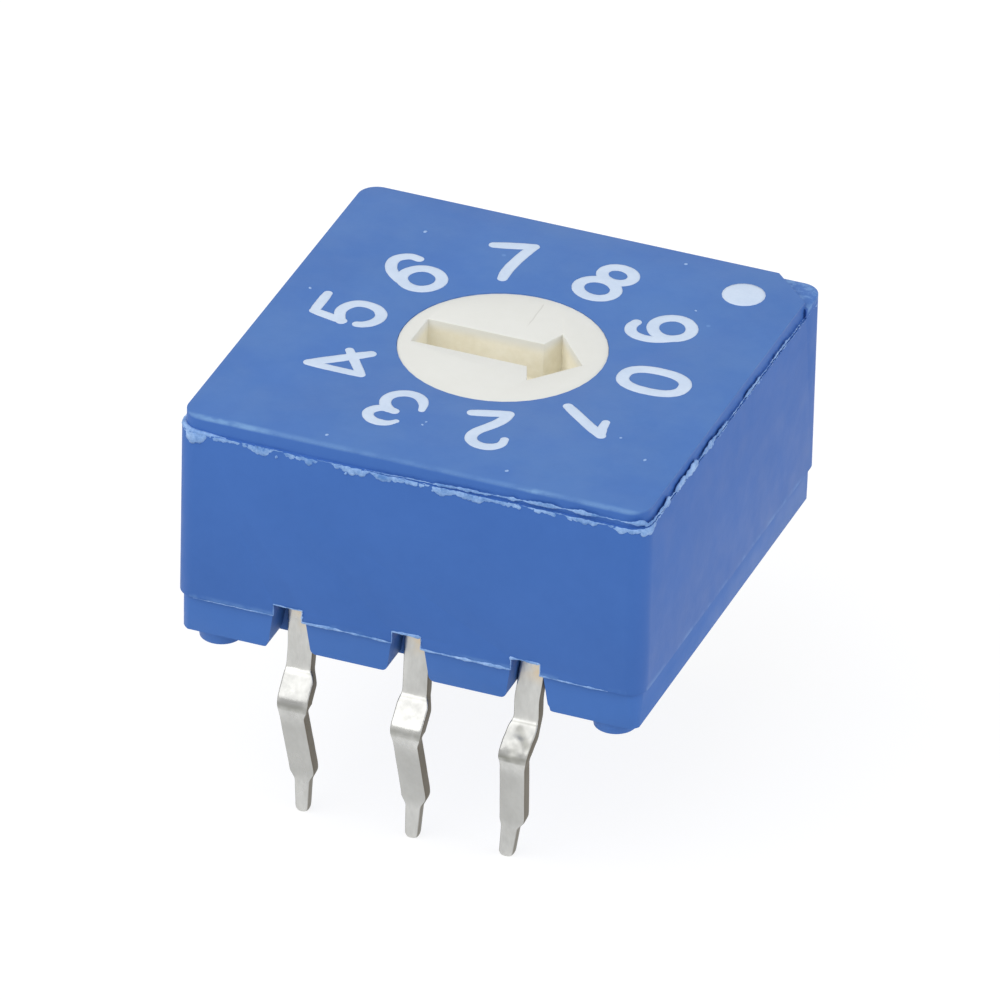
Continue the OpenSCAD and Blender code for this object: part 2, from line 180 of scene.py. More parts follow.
def make_world(strength):
    world = bpy.data.worlds.new("studio")
    bpy.context.scene.world = world
    world.use_nodes = True
    world.node_tree.nodes.clear()
    graph = Graph(world.node_tree)
    lit, shown = (graph.node("ShaderNodeBackground", {"Strength": level, "Color": (1, 1, 1)}).outputs[0]
                  for level in (strength, 1))
    shown_and_lit(graph, "ShaderNodeOutputWorld", lit, shown)


def make_floor():
    """A pale floor that shows white, with the part's shadow on it."""
    mesh = bpy.data.meshes.new("floor")
    mesh.from_pydata([(-3, -3, 0), (3, -3, 0), (3, 3, 0), (-3, 3, 0)], [], [(0, 1, 2, 3)])
    mat = bpy.data.materials.new("pale_floor")
    mat.use_nodes = True
    mat.node_tree.nodes.clear()
    graph = Graph(mat.node_tree)
    paper, shaded = (graph.node("ShaderNodeBsdfDiffuse", {"Color": (grey, grey, grey)}).outputs[0]
                     for grey in (0.78, 0.22))
    glow = graph.node("ShaderNodeEmission", {"Color": (1, 1, 1), "Strength": 0.84}).outputs[0]
    shown = graph.node("ShaderNodeAddShader", {0: shaded, 1: glow}).outputs[0]
    shown_and_lit(graph, "ShaderNodeOutputMaterial", paper, shown)
    mesh.materials.append(mat)
    add_object("floor", mesh)


make_camera()
bpy.context.scene.view_settings.view_transform = "Standard"
make_world(0.50)
soft_lamp("key_lamp", (-0.22, -0.30, 0.42), 0.70, 2.42)
soft_lamp("side_lamp", (0.42, -0.02, 0.22), 0.40, 0.75, (0.94, 0.99, 1.10))
make_floor()


# ---------------------------- shared shader groups


def build_mottle():
    """Two soft scales of drift between two colours."""
    g = Group("mottle", "ShaderNodeTree", {
        "Vector": "Vector", "Dark": "Color", "Light": "Color", "Scale": "Float", "Contrast": "Float"},
        {"Colour": "Color"})
    broad = g.noise(g["Vector"], g["Scale"], 3, 0.55)
    fine = g.noise(g["Vector"], g.times(g["Scale"], 7.3), 4, 0.6)
    both = g.add(g.times(broad, 0.65), g.times(fine, 0.35))
    level = g.add(g.times(g.less(both, 0.5), g["Contrast"]), 0.5)
    mask = g.node("ShaderNodeClamp", {0: level}).outputs[0]
    return g.send(Colour=g.mix(mask, g["Dark"], g["Light"]))


def build_specks():
    """Sparse small round specks, such as dust in a moulding or pits in plating."""
    g = Group("specks", "ShaderNodeTree", {
        "Vector": "Vector", "Scale": "Float", "Share": "Float", "Size": "Float"}, {"Mask": "Float"})
    cells = g.node("ShaderNodeTexVoronoi", {"Vector": g["Vector"], "Scale": g["Scale"]}).outputs
    pick = g.node("ShaderNodeSeparateColor", {0: cells["Color"]}).outputs[0]
    near = g.ramp(cells["Distance"], g.times(g["Size"], 0.55), g["Size"], 1.0, 0.0)
    return g.send(Mask=g.times(g.math("LESS_THAN", pick, g["Share"]), near))


def build_grain():
    """Fine surface height of a moulded or rolled surface, with roughness that follows it."""
    g = Group("surface_grain", "ShaderNodeTree", {
        "Vector": "Vector", "Scale": "Float", "Roughness": "Float", "Spread": "Float"},
        {"Height": "Float", "Roughness": "Float"})
    fine = g.noise(g["Vector"], g["Scale"], 3, 0.6)
    broad = g.noise(g["Vector"], g.times(g["Scale"], 0.12), 2)
    swing = g.times(g.less(broad, 0.5), g["Spread"], 2)
    return g.send(Height=g.add(fine, g.times(broad, 0.6)), Roughness=g.add(g["Roughness"], swing))


MOTTLE, SPECKS, GRAIN = build_mottle(), build_specks(), build_grain()


# ---------------------------- materials


class Finish(Graph):
    """A Principled material on object coordinates."""

    def __init__(self, name):
        self.mat = bpy.data.materials.new(name)
        self.mat.use_nodes = True
        super().__init__(self.mat.node_tree)
        self.tree.nodes.clear()
        self.shader = self.node("ShaderNodeBsdfPrincipled")
        self.node("ShaderNodeOutputMaterial", {0: self.shader.outputs[0]})
        self.place = self.node("ShaderNodeTexCoord").outputs["Object"]
        self.x, self.y, self.z = self.node("ShaderNodeSeparateXYZ", {0: self.place}).outputs

    def group(self, tree, place=None, **values):
        inputs = {"Vector": self.place if place is None else place, **values}
        return self.node("ShaderNodeGroup", inputs, node_tree=tree).outputs

    def mottle(self, dark, light, scale, contrast, place=None):
        return self.group(MOTTLE, place, Dark=dark, Light=light, Scale=scale, Contrast=contrast)["Colour"]

    def mark(self, label):
        """A number that the mesh carries at its corners."""
        return self.node("ShaderNodeAttribute", attribute_name=label).outputs["Fac"]

    def curve(self, value, low, high, stops):
        """A smooth curve of numbers over a stretch in mm. stops are (place, number), both from 0 to 1."""
        n = self.node("ShaderNodeValToRGB", {0: self.math("DIVIDE", self.less(value, low * MM), (high - low) * MM)})
        n.color_ramp.interpolation = "EASE"
        items = n.color_ramp.elements
        while len(items) < len(stops):
            items.new(0.5)
        for item, (place, number) in zip(items, stops):
            item.position = place
            item.color = (number, number, number, 1)
        return n.outputs[0]

    def done(self, colour, scale, roughness, spread, depth, place=None, rougher=None, **shader_values):
        """Colour, and a grain of the given scale and depth in mm. Plain numbers go on the shader's own sockets."""
        grain = self.group(GRAIN, place, Scale=scale, Roughness=roughness, Spread=spread)
        rough = grain["Roughness"] if rougher is None else self.add(grain["Roughness"], rougher)
        bump = self.node("ShaderNodeBump", {"Strength": 1.0, "Distance": depth * MM, "Height": grain["Height"]})
        for label, socket in (("Base Color", colour), ("Roughness", rough), ("Normal", bump.outputs[0])):
            self.tree.links.new(socket, self.shader.inputs[label])
        for label, value in shader_values.items():
            self.shader.inputs[label.replace("_", " ")].default_value = value
        return self.mat


def blue_moulding(name, dark, light, rubbed_and_highlight):
    """Blue thermoplastic: soft drift of tone, a rubbed index corner, painted highlight on the front rim and along the
    skirt's edge, a top face painted paler for the light it gets, fine grain, a few specks.
    """
    f = Finish(name)
    colour = f.mottle(dark, light, 420.0, 1.6)
    patches = f.noise(f.place, 1500, 3, 0.65)
    # Painted highlight along the front rim, strongest near its left end and in one spot.
    along = f.curve(f.x, -HALF, HALF, (
        (0.03, 0.5), (0.07, 1.0), (0.15, 0.95), (0.22, 0.35), (0.50, 0.22),
        (0.715, 0.30), (0.755, 1.0), (0.795, 0.40), (0.90, 0.5)))
    rim = f.times(f.fall(f.y, -4.88, -4.76), f.rise(f.z, 9.22, 9.28), along)
    colour = f.mix(f.times(rim, f.ramp(patches, 0.36, 0.60, 0.12, 0.8)), colour, rubbed_and_highlight)
    # Painted light: the top face is made paler, for the greater light that falls on it than on the sides.
    painted_top_light = f.times(f.rise(f.z, 9.24, 9.29), f.ramp(f.noise(f.place, 700, 4, 0.6), 0.3, 0.7, 0.08, 0.145))
    colour = f.mix(painted_top_light, colour, (0.28, 0.47, 0.62))
    # The low index corner is a little paler and rough.
    corner = f.times(f.rise(f.add(f.x, f.y), 9.02, 9.10), f.rise(f.z, 9.0, 9.1))
    scuffs = f.ramp(f.noise(f.place, 5200, 4, 0.7), 0.40, 0.66, 0.12, 0.7)
    colour = f.mix(f.times(corner, scuffs), colour, rubbed_and_highlight)
    # The skirt's lower edge is rubbed softly all along.
    # Painted highlight: a soft paler band all along the skirt's lower edge.
    side = f.math("MAXIMUM", f.math("ABSOLUTE", f.x), f.math("ABSOLUTE", f.y))
    low = f.times(f.fall(f.z, SKIRT_Z + 0.03, SKIRT_Z + 0.13), f.rise(f.z, SKIRT_Z - 0.01, SKIRT_Z),
                  f.rise(side, 4.985, 4.99))
    colour = f.mix(f.times(low, f.ramp(patches, 0.40, 0.62, 0.0, 0.32)), colour, rubbed_and_highlight)
    specks = f.group(SPECKS, Scale=2300.0, Share=0.012, Size=0.13)["Mask"]
    colour = f.mix(f.times(specks, 0.35), colour, rubbed_and_highlight)
    return f.done(colour, 14000.0, 0.50, 0.12, 0.0025, Specular_IOR_Level=0.22)


def torn_film(name, dark, light, contrast):
    """Pale flash plastic, whose pale patches are partly painted highlight for the light its thin film catches, and
    soft dust.
    """
    f = Finish(name)
    return f.done(f.mottle(dark, light, 2600.0, contrast), 20000.0, 0.48, 0.2, 0.006, Specular_IOR_Level=0.32)


def white_ink():
    f = Finish("pad_print_ink")
    return f.done(f.mottle((0.50, 0.61, 0.78), (0.67, 0.765, 0.90), 2200.0, 1.5), 16000.0, 0.5, 0.12, 0.004)


def seal_rubber():
    f = Finish("seal_rubber")
    return f.done(f.mottle((0.012, 0.012, 0.013), (0.035, 0.035, 0.036), 700.0, 1.5), 9000.0, 0.55, 0.2, 0.006)


def ivory_rotor():
    """Ivory moulding: nearly white on top, with painted shade in tan down the driver slot, and one faint scratch."""
    f = Finish("ivory_moulding")
    top = f.mottle((0.735, 0.735, 0.685), (0.785, 0.785, 0.745), 500.0, 1.8)
    # Painted shade: below its edge the driver slot is made tan.
    tan = f.mottle((0.76, 0.71, 0.55), (0.93, 0.90, 0.79), 900.0, 2.2)
    radius = f.math("SQRT", f.add(f.math("POWER", f.x, 2), f.math("POWER", f.y, 2)))
    slot = f.times(f.fall(radius, 1.93, 1.99), f.fall(f.z, HEAD_Z - 0.30, HEAD_Z - 0.03))
    colour = f.mix(slot, top, tan)
    # The scratch runs from near the rim to the slot, on the top face only, with a slight bend.
    bend = f.times(f.less(f.noise(f.place, 2500, 2), 0.5), 0.09 * MM)
    along = f.less(f.add(f.x, bend), 0.145 * MM)
    thin = f.fall(f.math("ABSOLUTE", along), 0.006, 0.022)
    reach = f.times(f.rise(f.y, 0.9, 1.2), f.fall(f.y, 1.85, 1.95))
    scratch = f.times(thin, reach, f.rise(f.z, 9.27, 9.276), 0.35)
    colour = f.mix(scratch, colour, (0.42, 0.41, 0.36))
    return f.done(colour, 12000.0, 0.45, 0.12, 0.004)


def plated(name, dull, bright, stain, roughness, cut=None, crease_shade=None):
    """Plated strip: rolled tone and small pits.

    A formed leg has colours for its cut sides and for painted shade in its creases too, and its mesh says where they
    are.
    """
    f = Finish(name)
    rolled = f.node("ShaderNodeMapping", {"Vector": f.place, "Scale": (1.0, 1.0, 0.35)}).outputs[0]
    colour = f.mottle(dull, bright, 1900.0, 2.4, rolled)
    # Stains near the base, most on a formed leg's right.
    stained = f.times(f.rise(f.z, 4.42, 4.9), f.ramp(f.noise(f.place, 2400, 3, 0.6), 0.38, 0.60), 0.9)
    if cut:
        stained = f.times(stained, f.ramp(f.mark("across"), -0.5, 0.7, 0.3, 1.0))
    colour = f.mix(stained, colour, stain)
    pits = f.group(SPECKS, Scale=7000.0, Share=0.08, Size=0.3)["Mask"]
    colour = f.mix(f.times(pits, 0.25), colour, dull)
    rougher = None
    if cut:
        # Below the kink the leg is painted darker, as painted shade for the shadowed floor it reflects, and the kink
        # itself is worn.
        painted_low_shade = f.times(f.fall(f.z, 2.35, 2.75), f.rise(f.z, 0.75, 1.1), 0.55)
        colour = f.mix(painted_low_shade, colour, (0.40, 0.40, 0.38))
        kink = f.times(f.fall(f.z, 3.50, 3.62), f.rise(f.z, 2.90, 3.0))
        worn = f.ramp(f.noise(f.place, 2100, 3, 0.6), 0.35, 0.65, 0.45, 0.92)
        colour = f.mix(f.times(kink, worn), colour, (0.32, 0.32, 0.31))
        # Painted shade darkens the leg's creases and dents, as the mesh marks them; the sheared sides are their own
        # colour.
        pressed, sheared = f.mark("crease_shade"), f.ramp(f.mark("cut"), 0.2, 0.9)
        colour = f.mix(sheared, f.mix(pressed, colour, crease_shade), cut)
        rougher = f.times(f.math("MAXIMUM", sheared, pressed), 0.25)
    return f.done(colour, 9000.0, roughness, 0.22, 0.005, rolled, rougher, Metallic=1.0)


PALE_BLUE = (0.20, 0.38, 0.68)
COVER_BLUE = blue_moulding("cover_blue", (0.044, 0.136, 0.430), (0.056, 0.160, 0.485), PALE_BLUE)
# The base's blue is painted paler than the cover's, to lift the shade that the cover's overhang casts on it.
BASE_BLUE = blue_moulding("base_blue", (0.052, 0.154, 0.460), (0.064, 0.178, 0.515), PALE_BLUE)
# The flash's pale colour is partly painted highlight, for the light its thin film catches.
FLASH = torn_film("stressed_flash", (0.085, 0.22, 0.53), (0.35, 0.54, 0.86), 3.4)
DUST = torn_film("soft_dust", (0.22, 0.38, 0.68), (0.42, 0.57, 0.82), 1.6)
INK = white_ink()
IVORY = ivory_rotor()
TIN = plated("tin_plating", (0.48, 0.48, 0.46), (0.68, 0.68, 0.655), (0.66, 0.53, 0.35), 0.32,
             cut=(0.18, 0.16, 0.125), crease_shade=(0.25, 0.25, 0.22))
GOLD = plated("gold_plating", (0.62, 0.43, 0.16), (0.83, 0.62, 0.28), (0.60, 0.40, 0.15), 0.28)
STEEL = plated("spring_steel", (0.34, 0.34, 0.35), (0.52, 0.52, 0.54), (0.36, 0.34, 0.31), 0.30)
RUBBER = seal_rubber()


# ---------------------------- making pieces


def new_piece(name, mesh, body, slot, *nodes):
    piece = add_object(name, mesh)
    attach(piece, body)
    if nodes:
        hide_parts(*nodes)


def merged_copy(node):
    """The node's mesh with its loose triangles joined and its flat faces made whole."""
    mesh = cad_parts[node].data.copy()
    mesh.materials.clear()
    bm = bmesh.new()
    bm.from_mesh(mesh)
    bmesh.ops.remove_doubles(bm, verts=bm.verts, dist=0.0004 * MM)
    bmesh.ops.dissolve_limit(bm, angle_limit=math.radians(0.6), verts=bm.verts, edges=bm.edges)
    bm.to_mesh(mesh)
    bm.free()
    for layer in list(mesh.uv_layers):
        mesh.uv_layers.remove(layer)
    return mesh


def plain_mesh(work):
    """The mesh of a work object after its modifiers. The object goes, with its modifiers."""
    graph = bpy.context.evaluated_depsgraph_get()
    result = bpy.data.meshes.new_from_object(work.evaluated_get(graph), depsgraph=graph)
    bpy.data.objects.remove(work)
    return result


def smoothed(mesh, material, sharp_angle):
    mesh.shade_smooth()
    mesh.set_sharp_from_angle(angle=math.radians(sharp_angle))
    mesh.materials.append(material)
    return mesh


def bisect(bm, place, normal, **settings):
    geometry = bm.verts[:] + bm.edges[:] + bm.faces[:]
    return bmesh.ops.bisect_plane(bm, geom=geometry, dist=1e-7, plane_co=place, plane_no=normal, **settings)


def eased(node, width, material, share, shift=None, cuts=()):
    """A copy of the node with round edges. share gives the part of the width that an edge's middle gets.

    shift moves the corners first, and cuts lists the places along x where the faces are split before that.
    """
    mesh = merged_copy(node)
    bm = bmesh.new()
    bm.from_mesh(mesh)
    for x in cuts:
        bisect(bm, (x * MM, 0, 0), (1, 0, 0))
    if shift:
        for vert in bm.verts:
            vert.co = shift(vert.co / MM) * MM
    weight = bm.edges.layers.float.new("bevel_weight_edge")
    for edge in bm.edges:
        if edge.calc_face_angle(0) > math.radians(35):
            a, b = edge.verts[0].co / MM, edge.verts[1].co / MM
            edge[weight] = share((a + b) / 2)
    bm.to_mesh(mesh)
    bm.free()
    work = add_object("work", mesh)
    bevel = work.modifiers.new("bevel", "BEVEL")
    bevel.width = width * MM
    bevel.segments = 3
    bevel.limit_method = "WEIGHT"
    bevel.miter_outer = "MITER_ARC"
    return smoothed(plain_mesh(work), material, 32)


# ---------------------------- cover, base and rotor

BORE_GAP = 0.034  # how far the bore's lip is drawn in
BLOCK_DROP = 0.07  # how far the outer blocks reach below BLOCK_Z
FOOT_X, FOOT_Y = HALF - 0.77, HALF - 0.66  # a foot's middle
FOOT_TAPER = 0.93
BARB_X, BARB_BACK = 0.9, 0.2  # the arrow's inner corners in the frame, and how far back they lie here


def cover_edges(p):
    if p.z > TOP - 0.01:
        if max(abs(p.x), abs(p.y)) < 3:
            return 0.18  # the rotor's bore
        return 1.0 if p.y < -4.7 else 0.35 if p.x > 4.7 else 0.6
    return 0.35 if abs(p.z - STEP_Z) < 0.01 else 0.4


def settled_base(p):
    """The feet narrow towards their ends, and the outer blocks reach a little lower."""
    if abs(p.z - BLOCK_Z) < 0.02 and abs(p.x) > 2.5:
        return Vector((p.x, p.y, p.z - BLOCK_DROP))
    if p.z < BOARD + 0.02:
        x, y = math.copysign(FOOT_X, p.x), math.copysign(FOOT_Y, p.y)
        return Vector((x + FOOT_TAPER * (p.x - x), y + FOOT_TAPER * (p.y - y), p.z))
    return p


def base_edges(p):
    if p.z < BOARD + 0.02:
        return 1.0  # under the feet
    under_blocks = BLOCK_Z - BLOCK_DROP - 0.02 < p.z < BLOCK_Z + 0.02
    return 0.85 if under_blocks and (abs(p.x) > 4.7 or abs(p.y) > 3.3) else 0.16


def worn_barb(p):
    """The arrow's inner corners lie a little further back."""
    if abs(p.x - BARB_X) < 0.01 and abs(p.y) < 0.8 and p.z > HEAD_Z - 1.5:
        return Vector((p.x - BARB_BACK, p.y, p.z))
    return p


def rotor_edges(p):
    if p.z < HEAD_Z - 0.01:
        return 0.2
    return 0.13 if math.hypot(p.x, p.y) > 2.05 else 0.85  # the rim, and the worn edge of the driver slot


def close_bore(mesh):
    """The bore's lip is drawn in, so that only a hairline shows round the rotor."""
    for vert in mesh.vertices:
        reach = math.hypot(vert.co.x, vert.co.y)
        if vert.co.z > (TOP - 0.06) * MM and reach < 2.5 * MM:
            share = (reach - BORE_GAP * MM) / reach
            vert.co.x *= share
            vert.co.y *= share
    return mesh


new_piece("cover_shell", close_bore(eased("housing", 0.07, COVER_BLUE, cover_edges)),
          "switch_body", "housing_plastic", "housing")
new_piece("base_moulding", eased("base", 0.24, BASE_BLUE, base_edges, settled_base, (-2.54, -2.30, 2.30, 2.54)),
          "switch_body", "base_plastic", "base")
new_piece("rotor_knob", eased("rotor", 0.11, IVORY, rotor_edges, worn_barb),
          "rotor_assembly", "rotor_plastic", "rotor")


# ---------------------------- terminals

STRIP_W, STRIP_T = 0.54, 0.28
STRIP_R = 0.035  # the radius of its edges
LEG_Y = 4.28
BEND_Z = BOARD + 1.02
KINK_TOP = BOARD - 0.40
SHOULDER_Z = BOARD - 2.9
SHOULDER_H = 0.33
TIP_H = 0.15  # the tip is rounded up to here
# How a leg was formed: its lean and its tip's own lean as slopes, how far out its kink is pressed and where,
# what each side gains there and loses at the shoulder, how dark the painted shade in its creases is, whether the kink
# is crumpled, where its tip stands, and how far its upper end is off the pitch.
PLAIN_LEG = dict(lean=0.0, tip_lean=0.03, out=0.47, crest=1.0, press=(0.06, 0.06), narrow=(0.10, 0.10),
                 crease_shade=0.6, crumpled=False, tip_y=3.835, top=0.0)
FRONT_LEFT = dict(PLAIN_LEG, lean=-0.009, tip_lean=0.058, out=0.475, crest=0.97, press=(0.016, 0.115),
                  narrow=(0.096, 0.098), tip_y=3.93, top=0.03)
FRONT_MIDDLE = dict(PLAIN_LEG, lean=0.022, tip_lean=0.043, out=0.52, crest=0.995, press=(0.043, 0.094),
                    narrow=(0.084, 0.103), tip_y=3.98)
FRONT_RIGHT = dict(PLAIN_LEG, lean=0.130, tip_lean=0.030, out=0.51, crest=0.99, press=(0.052, 0.032),
                   narrow=(0.038, 0.122), crease_shade=0.8, crumpled=True, top=-0.06)
BACK_LEANING = dict(PLAIN_LEG, lean=-math.tan(math.radians(4)))


def side_path(shape):
    """The leg's middle line as (y, z), from inside the base, over its bend, down to its tip."""
    half_t = STRIP_T / 2
    points = [(-LEG_Y + 0.8, BEND_Z + half_t), (-LEG_Y + half_t + 0.02, BEND_Z + half_t)]
    for k in range(9):
        a = math.radians(90 + 90 * k / 8)
        points.append((-LEG_Y + half_t + half_t * math.cos(a), BEND_Z + half_t * math.sin(a)))
    corners = [Vector(p) for p in (
        (-LEG_Y, BEND_Z), (-LEG_Y, KINK_TOP), (-LEG_Y - shape["out"], BOARD - shape["crest"]),
        (-LEG_Y + 0.22, SHOULDER_Z), (-shape["tip_y"], 0.0))]
    for i, bend in ((1, 0.16), (2, 0.12), (3, 0.22)):
        start = corners[i] + bend * (corners[i - 1] - corners[i]).normalized()
        end = corners[i] + bend * (corners[i + 1] - corners[i]).normalized()
        for k in range(9):
            t = k / 8
            points.append(tuple((1 - t) ** 2 * start + 2 * t * (1 - t) * corners[i] + t * t * end))
    points.append(tuple(corners[-1]))
    return points


def evenly(points, step):
    """The same line with points a fixed distance apart."""
    points = [Vector(p) for p in points]
    total = sum((b - a).length for a, b in zip(points, points[1:]))
    count = max(2, round(total / step))
    out, walked, i = [], 0.0, 0
    for wanted in (total * k / count for k in range(count + 1)):
        while i < len(points) - 2 and walked + (points[i + 1] - points[i]).length < wanted:
            walked += (points[i + 1] - points[i]).length
            i += 1
        span = (points[i + 1] - points[i]).length
        out.append(points[i].lerp(points[i + 1], min(1, (wanted - walked) / span)))
    return out


def strip_section(half_w, half_t, corner, across):
    """A rounded rectangle as (across, through, share of sheared edge), anticlockwise."""
    section = []
    for sx, sy, start in ((1, 1, 0), (-1, 1, 90), (-1, -1, 180), (1, -1, 270)):
        for k in range(4):
            a = math.radians(start + 30 * k)
            section.append((sx * (half_w - corner) + corner * math.cos(a),
                            sy * (half_t - corner) + corner * math.sin(a)))
    full = []
    for i, (a, b) in enumerate(zip(section, section[1:] + section[:1])):
        full.append(a)
        if i % 4 == 3:
            n = across if abs(a[0] - b[0]) > abs(a[1] - b[1]) else 3
            full += [tuple(Vector(a).lerp(Vector(b), k / n)) for k in range(1, n)]
    sheared = half_w - 0.012 - 0.25 * (corner - STRIP_R)
    return [(u, v, 1.0 if abs(u) > sheared else 0.0) for u, v in full]


def share_of(value, low, high):
    return min(1.0, max(0.0, (value - low) / (high - low)))


def smooth_share(value, low, high):
    t = share_of(value, low, high)
    return t * t * (3 - 2 * t)


def half_widths(z, shape):
    """The leg's reach to its left and right of its middle line at a height."""
    below = BOARD - z
    pressed = smooth_share(below, 0.36, 0.64) * smooth_share(-below, -1.32, -0.95)
    cut_in = smooth_share(SHOULDER_Z - z, 0.0, SHOULDER_H)
    end = share_of(SHOULDER_Z - SHOULDER_H - z, 0.0, SHOULDER_Z - SHOULDER_H)
    return [STRIP_W / 2 + more * pressed - less * cut_in - 0.03 * end
            for more, less in zip(shape["press"], shape["narrow"])]


def bell(distance, reach):
    return math.exp(-(distance / reach) ** 2)


def crumpled_kink(u, z):
    """How far the pressed kink is dented at a place across and below the board, and how dark the painted shade in its
    groove, dent and lower edge is there.
    """
    place, a, b = Vector((u, z)), Vector((-0.06, -0.52)), Vector((0.22, -0.76))
    t = min(1.0, max(0.0, (place - a).dot(b - a) / (b - a).length_squared))
    groove = bell((place - a.lerp(b, t)).length, 0.07)
    dent = bell(math.hypot(u + 0.02, z + 0.90), 0.085)
    lump = bell(math.hypot(u - 0.15, z + 0.86), 0.08) + 0.7 * bell(math.hypot(u + 0.16, z + 0.66), 0.10)
    edge = bell(z + 1.02, 0.045) * smooth_share(-u, -0.10, 0.1)
    return -0.022 * groove - 0.020 * dent + 0.016 * lump, 0.10 + 0.45 * groove + 0.28 * dent + 0.75 * edge


def leg_mesh(bm, layers, x0, shape, turned, seed):
    """One formed leg in a bmesh. turned puts it in the back row."""
    fine = shape["crumpled"]
    middle = evenly(side_path(shape), 0.022 if fine else 0.032)
    rings = []
    for i, p in enumerate(middle):
        a, b = middle[max(0, i - 1)], middle[min(len(middle) - 1, i + 1)]
        tangent = (b - a).normalized()
        out = Vector((tangent.y, -tangent.x))
        left, right = half_widths(p.y, shape)
        half_w, shift = (left + right) / 2, (right - left) / 2
        half_t, corner = STRIP_T / 2, STRIP_R + 0.065 * smooth_share(SHOULDER_Z - p.y, -0.1, SHOULDER_H)
        if p.y < TIP_H:
            dome = math.sqrt(max(0.0, 1 - (1 - max(0.0, p.y) / TIP_H) ** 2))
            half_w *= 0.55 + 0.45 * dome
            half_t *= 0.5 + 0.5 * dome
            corner = min(corner, 0.85 * half_w, 0.85 * half_t)
        if i == 0:
            half_w, half_t = half_w - 0.006, half_t - 0.006
        ring = []
        for u, v, cut in strip_section(half_w, half_t, corner, 16 if fine else 8):
            u += shift
            place = Vector((x0 + u, p.x + v * out.x, p.y + v * out.y))
            where = Vector((place.x * 1.9 + seed, place.y * 1.9, place.z * 1.9))
            wobble = 0.008 * noise.noise(where * 1.3)
            below = place.z - BOARD
            crease_shade = 0.0
            # Painted shade on the outer face: along the crest, under the kink's top line, and in a crumpled kink's
            # groove and dent.
            if v > 0.5 * half_t:
                band = smooth_share(below, -1.16, -1.10) * smooth_share(-below, 0.93, 0.99)
                patchy = 0.75 + 0.5 * noise.noise(where * 4.0)
                crease_shade = shape["crease_shade"] * (band * patchy + 0.55 * bell(below + 0.41, 0.018))
                if fine:
                    dent, dark = crumpled_kink(u, below)
                    wobble += dent
                    dark *= smooth_share(below, -1.2, -1.0) * smooth_share(-below, 0.36, 0.5)
                    crease_shade = max(crease_shade, dark)
            place.x += shape["top"] * smooth_share(below, -0.45, 0.2)
            if fine:
                near = bell(below + 0.85, 0.42)
                wobble += 0.035 * near * noise.noise(where * 2.2 + Vector((3.1, 0, 7.7)))
                place.x += 0.03 * near * noise.noise(where * 1.7 + Vector((9.0, 4.0, 0)))
            place.y += wobble * out.x
            place.z += wobble * out.y
            lean = min(0.0, place.z - BOARD - 1.0) * shape["lean"]
            place.x += lean + min(0.0, place.z - SHOULDER_Z) * shape["tip_lean"]
            vert = bm.verts.new(Vector((-place.x, -place.y, place.z) if turned else place) * MM)
            vert[layers["cut"]] = cut * (1 - 0.3 * smooth_share(SHOULDER_Z - place.z, 0.1, SHOULDER_H))
            vert[layers["crease_shade"]] = min(1.0, crease_shade)
            vert[layers["across"]] = u / (STRIP_W / 2)
            ring.append(vert)
        rings.append(ring)
    for low, high in zip(rings, rings[1:]):
        for k in range(len(low)):
            n = (k + 1) % len(low)
            bm.faces.new((low[k], low[n], high[n], high[k]))
    bm.faces.new(rings[0][::-1])
    bm.faces.new(rings[-1])


def terminal_mesh(node, legs, seed):
    """The strip inside the base from the node, and a formed leg for each of legs, given as (x, turned, shape)."""
    bm = bmesh.new()
    bm.from_mesh(merged_copy(node))
    layers = {label: bm.verts.layers.float.new(label) for label in ("cut", "crease_shade", "across")}
    for x0, turned, shape in legs:
        # Everything beyond the plane goes, and the open end is closed again.
        side = 1 if turned else -1
        got = bisect(bm, (0, side * (LEG_Y - 0.72) * MM, 0), (0, side, 0), clear_outer=True)
        bmesh.ops.contextual_create(bm, geom=[e for e in got["geom_cut"] if isinstance(e, bmesh.types.BMEdge)])
    for i, (x0, turned, shape) in enumerate(legs):
        leg_mesh(bm, layers, x0, shape, turned, seed + 5.3 * i)
    bmesh.ops.recalc_face_normals(bm, faces=bm.faces)
    mesh = bpy.data.meshes.new(node)
    bm.to_mesh(mesh)
    bm.free()
    return smoothed(mesh, TIN, 50)


for node, seed, *legs in (
    ("terminal_1", 1.0, (-PITCH, False, FRONT_LEFT)),
    ("terminal_2", 2.0, (PITCH, False, FRONT_RIGHT)),
    ("terminal_4", 3.0, (PITCH, True, PLAIN_LEG)),
    ("terminal_8", 4.0, (-PITCH, True, BACK_LEANING)),
    ("terminal_common", 6.0, (0.0, False, FRONT_MIDDLE), (0.0, True, PLAIN_LEG)),
):
    new_piece(node + "_strip", terminal_mesh(node, legs, seed), "switch_body", "terminal_metal", node)


# ---------------------------- geometry node trees


